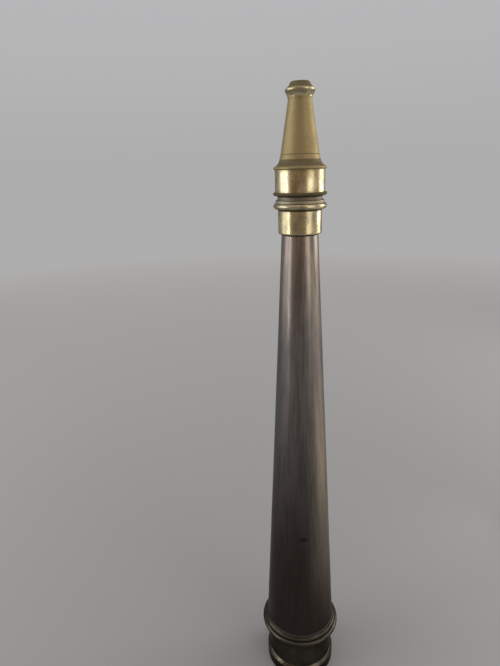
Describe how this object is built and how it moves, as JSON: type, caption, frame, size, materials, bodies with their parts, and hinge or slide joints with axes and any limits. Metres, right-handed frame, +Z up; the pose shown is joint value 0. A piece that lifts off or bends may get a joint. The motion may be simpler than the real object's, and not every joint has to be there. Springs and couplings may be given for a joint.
{
  "type": "fire hose nozzle",
  "caption": "Smooth-bore fire hose branch pipe: tapered copper tube with a screw-on brass nozzle tip, brass head ferrule and male quick-connect hose coupling.",
  "frame": {"origin": "centre of the coupling's lower face, which the part stands on", "axes": "+Z up the waterway, from the hose end to the jet; the grub screws are on the +Y side; -Y is the front"},
  "size_m": [0.0788, 0.0788, 0.5712],
  "materials": {
    "nozzle_brass": "satin, olive-brown tone, dark in the recesses",
    "head_brass": "polished, with fine turning lines",
    "copper": "dark bronze-brown patina, semi-gloss",
    "base_brass": "dull dark brass with greenish tarnish",
    "solder": "dark tarnished solder",
    "leather": "oiled leather",
    "screw_steel": "blackened steel"
  },
  "bodies": {
    "branch": {"branch_tube": "copper", "head_ferrule": "head_brass", "head_solder": "solder", "base_ferrule": "base_brass", "base_solder": "solder", "coupling": "base_brass", "coupling_washer": "leather", "coupling_screws": "screw_steel"},
    "washer": {"nozzle_washer": "leather"},
    "nozzle": {"nozzle": "nozzle_brass"}
  },
  "joints": [
    {"name": "nozzle_lift", "type": "slide", "parent": "branch", "child": "washer", "axis": [0, 0, 1], "range_m": [0, 0.01387]},
    {"name": "nozzle_turn", "type": "hinge", "parent": "washer", "child": "nozzle", "pos_m": [0, 0, 0.5], "axis": [0, 0, 1], "range_deg": [0, 2160]}
  ],
  "couplings": [
    {"joint": "nozzle_lift", "follows": "nozzle_turn", "m_per_rad": 0.0003675}
  ]
}
